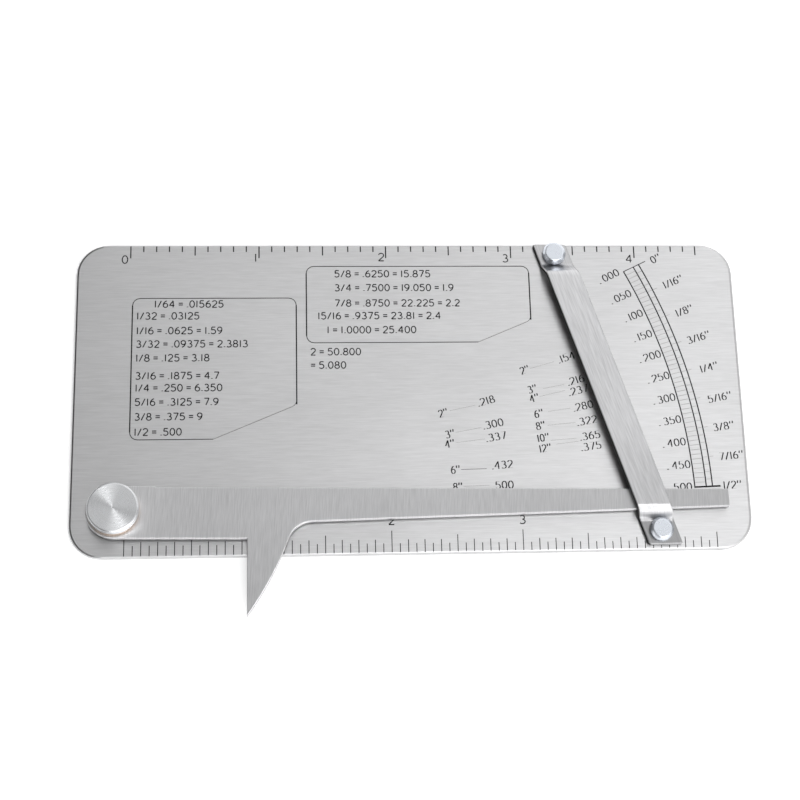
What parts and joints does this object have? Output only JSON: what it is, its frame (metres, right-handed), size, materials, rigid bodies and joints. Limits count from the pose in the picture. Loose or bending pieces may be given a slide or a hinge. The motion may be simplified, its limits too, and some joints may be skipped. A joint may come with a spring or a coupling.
{
  "type": "weld gauge",
  "caption": "Flat engraved steel gauge with a pointer arm that turns on a stud under a bent guide strap and reads a curved depth scale.",
  "frame": {"origin": "middle of the plate's back face, on which the gauge lies", "axes": "+X along the rulers away from the pivot, +Y across the plate from the datum edge to the ruler in tenths, +Z out of the engraved face"},
  "size_m": [0.1324, 0.0759, 0.0065],
  "materials": {
    "plate_steel": "brushed along the length, engraved marks filled dark",
    "arm_steel": "brushed across the arm",
    "strap_steel": "brushed along the strap",
    "stud_metal": "fine turned face",
    "bronze": "plain bronze",
    "washer_steel": "plain",
    "zinc_upper": "bright zinc plate",
    "zinc_lower": "bright zinc plate"
  },
  "bodies": {
    "base": {"base_plate": "plate_steel", "guide_strap": "strap_steel", "pivot_stud": "stud_metal", "upper_washer": "bronze", "lower_washer": "washer_steel", "rivet_upper": "zinc_upper", "rivet_lower": "zinc_lower"},
    "pointer": {"pointer_arm": "arm_steel"}
  },
  "joints": [
    {"name": "pointer_pivot", "type": "hinge", "parent": "base", "child": "pointer", "pos_m": [-0.0574, -0.02345, 0.003], "axis": [0, 0, 1], "range_deg": [0, 25.9]}
  ]
}
